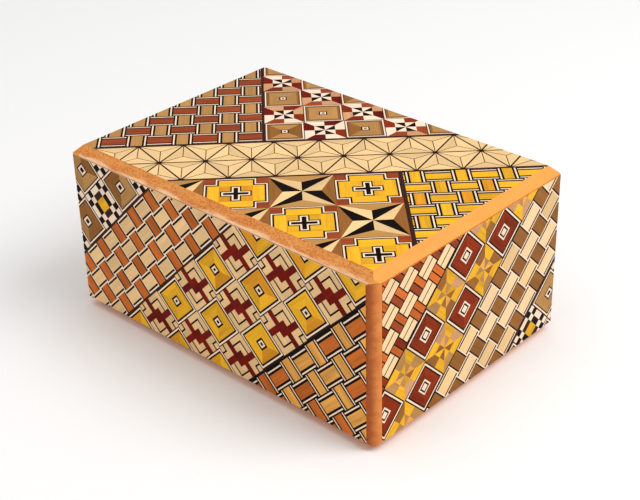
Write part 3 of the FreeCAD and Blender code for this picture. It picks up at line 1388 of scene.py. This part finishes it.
@dataclass
class Case(Assembly):
    """The fixed case: two walls, their marquetry, the inner ends, the tray floor and the tongues.

    Attributes:
        ease: Width of the eased edges.
    """

    ease: float = 0.3 * MM

    def build(self, shop: Workshop) -> list[bpy.types.Object]:
        """Build the walls and dress the pieces inside."""
        chamfer = shop.solid(Timber.CHAMFER, 0)
        corner = shop.solid(Timber.CORNER_END, 0)
        bright = shop.solid(Timber.BRIGHT_END, 2)
        core = shop.solid(Timber.PALE_CORE, 0)
        front: FaceRules = (
            # The front board's faces that look right, its eased arris there among them, take the lighter copy
            # as a painted highlight.
            (lambda normal: normal.x > END, bright),
            (lambda normal: normal.y > SQUARE or abs(normal.z) > SQUARE, core),
            (lambda normal: abs(normal.x) > LEANING, corner),
            (lambda normal: True, chamfer))
        rear: FaceRules = ((lambda normal: normal.y < -SQUARE, core), (lambda normal: True, chamfer))
        pieces = [
            Board("front_board", "case", self.ease, front, -Y).build(),
            Board("rear_board", "case", self.ease, rear, Y).build(),
            MarquetrySheet("front_marquetry", "case", X, Z, front_face, front, seed=11).build(shop.inlay),
            MarquetrySheet("rear_marquetry", "case", -X, Z, front_face, rear, True, 12).build(shop.inlay),
        ]
        for side in ("front", "rear"):
            for place in ("lid", "bottom"):
                shop.dress(f"{place}_guide_{side}", Timber.HARDWOOD, 0)
        for node, axis in (("left_inner_end", 1), ("right_inner_end", 1), ("tray_floor", 0)):
            shop.dress(node, Timber.PALE_CORE, axis)
        return pieces


@dataclass
class Lid(Assembly):
    """The sliding lid.

    Attributes:
        ease: Width of the eased edges.
    """

    ease: float = 0.35 * MM

    def build(self, shop: Workshop) -> list[bpy.types.Object]:
        """Build the board and its marquetry."""
        rules: FaceRules = (
            (lambda normal: normal.z < -SQUARE, shop.solid(Timber.PALE_CORE, 0)),
            # The chamfer at the lid's right end takes the lighter copy: smooth long grain with painted light.
            (lambda normal: normal.x > LEANING, shop.solid(Timber.BRIGHT_END, 1)),
            (lambda normal: True, shop.solid(Timber.LID_CHAMFER, 0)))
        return [
            Board("lid_board", "lid", self.ease, rules, Z).build(),
            MarquetrySheet("lid_marquetry", "lid", X, Y, top_face, rules, seed=21).build(shop.inlay),
        ]


@dataclass
class BottomPanel(Assembly):
    """The sliding bottom panel with its key.

    Attributes:
        ease: Width of the eased edges.
    """

    ease: float = 0.35 * MM

    def build(self, shop: Workshop) -> list[bpy.types.Object]:
        """Build the board and its marquetry, and dress the key."""
        shop.dress("bottom_key", Timber.HARDWOOD, 0)
        rules: FaceRules = (
            (lambda normal: normal.z > SQUARE, shop.solid(Timber.PALE_CORE, 0)),
            # The chamfer at the bottom panel's left end takes the lighter copy: smooth long grain with
            # painted light.
            (lambda normal: normal.x < -LEANING, shop.solid(Timber.BRIGHT_END, 1)),
            (lambda normal: True, shop.solid(Timber.CHAMFER, 0)))
        return [
            Board("bottom_board", "bottom_panel", self.ease, rules, -Z).build(),
            MarquetrySheet("bottom_marquetry", "bottom_panel", X, -Y, top_face, rules, True,
                           31).build(shop.inlay),
        ]


@dataclass
class EndPanel(Assembly):
    """A sliding end panel with its key.

    Attributes:
        side: "right" or "left".
        ease: Width of the eased edges.
    """

    side: str
    ease: float = 0.3 * MM

    def build(self, shop: Workshop) -> list[bpy.types.Object]:
        """Build the board and its marquetry, and dress the key."""
        sign = 1 if self.side == "right" else -1
        body = f"{self.side}_end_panel"
        shop.dress(f"{self.side}_end_key", Timber.HARDWOOD, 2)
        rules: FaceRules = (
            (lambda normal: sign * normal.x < -SQUARE, shop.solid(Timber.PALE_CORE, 1)),
            (lambda normal: True, shop.solid(Timber.CHAMFER, 1)))
        return [
            Board(f"{self.side}_end_board", body, self.ease, rules, sign * X).build(),
            MarquetrySheet(f"{self.side}_end_marquetry", body, sign * Y, Z, end_face, rules, sign < 0,
                           40 + sign).build(shop.inlay),
        ]


# --- Studio ---------------------------------------------------------------------------------------
@dataclass(frozen=True)
class Lamp:
    """A soft square lamp that looks at the middle of the box.

    Attributes:
        name: Its name.
        place: Its place from the middle of the box, in metres.
        size: Its side, in metres.
        power: Its power, in watts.
    """

    name: str
    place: tuple[float, float, float]
    size: float
    power: float


LAMPS = (
    Lamp("key", (0.7, 0.3, 0.9), 0.7, 8.2),
    Lamp("overhead", (-0.1, -0.1, 1.1), 1.0, 3.4),
    Lamp("front_fill", (-0.2, -1.0, 0.5), 0.8, 1.1))
FLOOR_REACH = 3.0                           # half the side of the floor, in metres
FLOOR_COLOR = (0.93, 0.93, 0.935, 1.0)
FLOOR_ROUGHNESS = 0.9
ROOM_COLOR = (1.0, 0.99, 0.97, 1.0)
ROOM_LIGHT = 0.47
NEAREST, FARTHEST = 0.01, 20.0              # what the camera sees, in metres


@dataclass
class Studio:
    """Plain pale floor, soft light and the camera.

    Attributes:
        azimuth: Direction of the camera, from the front to the right.
        elevation: Its angle above the floor.
        roll: Its turn about the line of sight.
        lens: Its focal length, in millimetres.
        distance: Its distance, in lengths of the box.
        aim: The point that it looks at from the middle of the box, in lengths of the box.
    """

    azimuth: float = math.radians(43.13)
    elevation: float = math.radians(29.96)
    roll: float = math.radians(-1.38)
    lens: float = 80.16
    distance: float = 3.6
    aim: tuple[float, float, float] = (0.0225, -0.0004, -0.0278)

    def build(self) -> None:
        """Build the whole studio round the box."""
        low, high = map(Vector, CAD_BOX)
        length = high.x - low.x
        middle = (low + high) / 2
        self.floor()
        self.camera(middle + Vector(self.aim) * length, length)
        self.lights(middle)

    def floor(self) -> None:
        """Lay the floor, and light the room evenly."""
        bm = bmesh.new()
        bmesh.ops.create_grid(bm, x_segments=1, y_segments=1, size=FLOOR_REACH)
        shader = Shader("pale_floor")
        shader.surface.inputs["Base Color"].default_value = FLOOR_COLOR
        shader.surface.inputs["Roughness"].default_value = FLOOR_ROUGHNESS
        finished(bm, "floor", [shader.material])
        world = bpy.data.worlds.new("room")
        bpy.context.scene.world = world
        world.use_nodes = True
        background = world.node_tree.nodes["Background"]
        background.inputs["Color"].default_value = ROOM_COLOR
        background.inputs["Strength"].default_value = ROOM_LIGHT
        bpy.context.scene.view_settings.view_transform = "Standard"

    def camera(self, target: Vector, length: float) -> None:
        """Set up the camera.

        Args:
            target: The point that it looks at.
            length: Length of the box.
        """
        level = math.cos(self.elevation)
        away = Vector((math.sin(self.azimuth) * level, -math.cos(self.azimuth) * level,
                       math.sin(self.elevation)))
        data = bpy.data.cameras.new("camera")
        data.lens = self.lens
        data.clip_start, data.clip_end = NEAREST, FARTHEST
        camera = bpy.data.objects.new("camera", data)
        turn = (-away).to_track_quat("-Z", "Y").to_matrix() @ Matrix.Rotation(self.roll, 3, "Z")
        camera.matrix_world = Matrix.Translation(target + away * self.distance * length) @ turn.to_4x4()
        bpy.context.scene.collection.objects.link(camera)
        bpy.context.scene.camera = camera

    def lights(self, middle: Vector) -> None:
        """Hang the soft lights: a broad one above and behind to the right, and weak fills."""
        for lamp in LAMPS:
            data = bpy.data.lights.new(lamp.name, "AREA")
            data.energy, data.size = lamp.power, lamp.size
            hung = bpy.data.objects.new(lamp.name, data)
            offset = Vector(lamp.place)
            hung.matrix_world = (Matrix.Translation(middle + offset)
                                 @ (-offset).to_track_quat("-Z", "Y").to_matrix().to_4x4())
            bpy.context.scene.collection.objects.link(hung)


def main() -> None:
    """Build the box and the studio."""
    logging.basicConfig(level=logging.INFO, format="%(name)s: %(message)s")
    shop = Workshop()
    shop.prepare()
    for assembly in (Case(), Lid(), BottomPanel(), EndPanel("right"), EndPanel("left")):
        for piece in assembly.build(shop):
            LOG.info("%s: %d faces", piece.name, len(piece.data.polygons))
    Studio().build()


if __name__ == "__main__":
    main()
